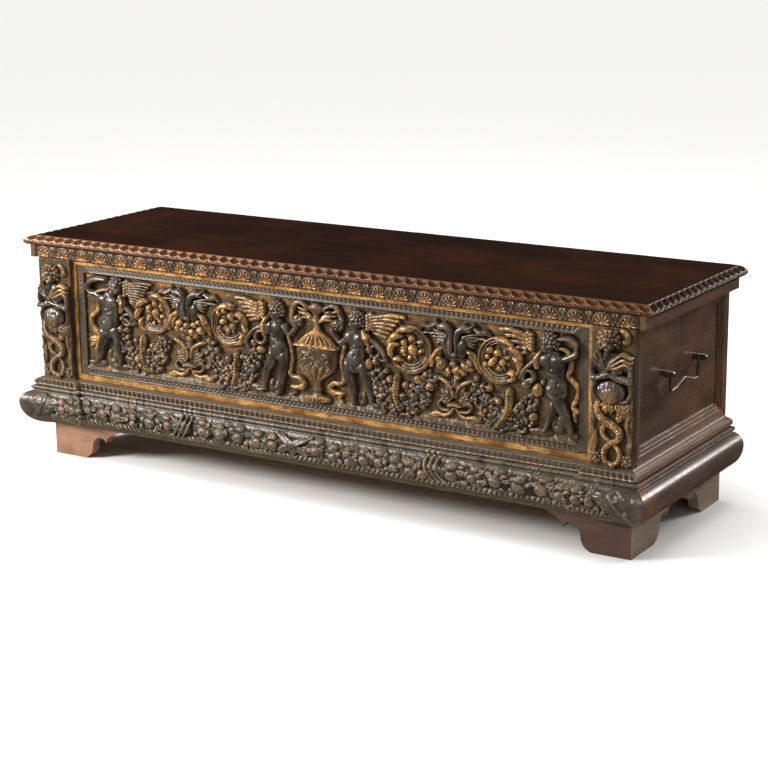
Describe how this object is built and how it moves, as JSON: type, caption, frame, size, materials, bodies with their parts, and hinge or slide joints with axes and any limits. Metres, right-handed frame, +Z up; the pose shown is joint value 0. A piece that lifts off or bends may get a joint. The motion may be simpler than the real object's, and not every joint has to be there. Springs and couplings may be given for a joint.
{
  "type": "cassone",
  "caption": "Low walnut chest on bracket feet with a hinged flat lid, carved and part-gilt front, herm pilasters and iron bail handles.",
  "frame": {"origin": "on the floor, under the middle of the whole chest's box, lid closed", "axes": "+X to the right along the front, +Y to the back, +Z up; the carved front faces -Y"},
  "size_m": [1.6606, 0.5443, 0.5415],
  "materials": {
    "top_walnut": "very dark red-brown walnut, wax polished to a gloss",
    "edge_walnut": "reddish brown walnut, worn on the high parts",
    "carved_walnut": "dark carved walnut, waxed, with rubbed gilding on the ornament",
    "side_walnut": "dark brown walnut, semi-gloss",
    "foot_walnut": "brown walnut, worn",
    "inner_wood": "unfinished aged wood",
    "gilt": "worn ochre gilding over wood",
    "iron": "dark wrought iron, slightly burnished"
  },
  "bodies": {
    "chest": {"back_board_lower": "inner_wood", "back_board_nails": "iron", "back_board_upper": "inner_wood", "base_cap_front": "carved_walnut", "base_cap_left": "side_walnut", "base_cap_right": "side_walnut", "base_torus_front": "carved_walnut", "base_torus_left": "side_walnut", "base_torus_right": "side_walnut", "bottom_board_front": "inner_wood", "bottom_board_rear": "inner_wood", "foot_blocks": "inner_wood", "foot_front_left_face": "foot_walnut", "foot_front_left_side": "foot_walnut", "foot_front_right_face": "foot_walnut", "foot_front_right_side": "foot_walnut", "foot_rear_left_back": "foot_walnut", "foot_rear_left_side": "foot_walnut", "foot_rear_right_back": "foot_walnut", "foot_rear_right_side": "foot_walnut", "frame_strip_bottom": "carved_walnut", "frame_strip_left": "carved_walnut", "frame_strip_right": "carved_walnut", "frame_strip_top": "carved_walnut", "front_board": "carved_walnut", "gilt_fillet_bottom": "gilt", "gilt_fillet_left": "gilt", "gilt_fillet_right": "gilt", "gilt_fillet_top": "gilt", "handle_staples_left": "iron", "handle_staples_right": "iron", "hinge_leaves_body": "iron", "hinge_nails_body": "iron", "hinge_pins": "iron", "pilaster_left": "carved_walnut", "pilaster_right": "carved_walnut", "side_board_left": "side_walnut", "side_board_right": "side_walnut", "side_rail_back_left": "side_walnut", "side_rail_back_right": "side_walnut", "side_rail_bottom_left": "side_walnut", "side_rail_bottom_right": "side_walnut", "side_rail_front_left": "side_walnut", "side_rail_front_right": "side_walnut", "side_rail_top_left": "side_walnut", "side_rail_top_right": "side_walnut"},
    "lid": {"hinge_leaves_lid": "iron", "hinge_nails_lid": "iron", "lid_battens": "inner_wood", "lid_board_front": "top_walnut", "lid_board_rear": "top_walnut", "lid_frieze_front": "carved_walnut", "lid_frieze_left": "side_walnut", "lid_frieze_right": "side_walnut", "lid_gadroon_front": "edge_walnut", "lid_gadroon_left": "edge_walnut", "lid_gadroon_right": "edge_walnut"},
    "handle_left": {"handle_left": "iron"},
    "handle_right": {"handle_right": "iron"}
  },
  "joints": [
    {"name": "lid_hinge", "type": "hinge", "parent": "chest", "child": "lid", "pos_m": [0, 0.26765, 0.524], "axis": [-1, 0, 0], "range_deg": [0, 98]},
    {"name": "handle_left_swing", "type": "hinge", "parent": "chest", "child": "handle_left", "pos_m": [-0.79125, 0.00585, 0.37], "axis": [0, 1, 0], "range_deg": [-12, 180]},
    {"name": "handle_right_swing", "type": "hinge", "parent": "chest", "child": "handle_right", "pos_m": [0.79125, 0.00585, 0.37], "axis": [0, -1, 0], "range_deg": [-12, 180]}
  ]
}
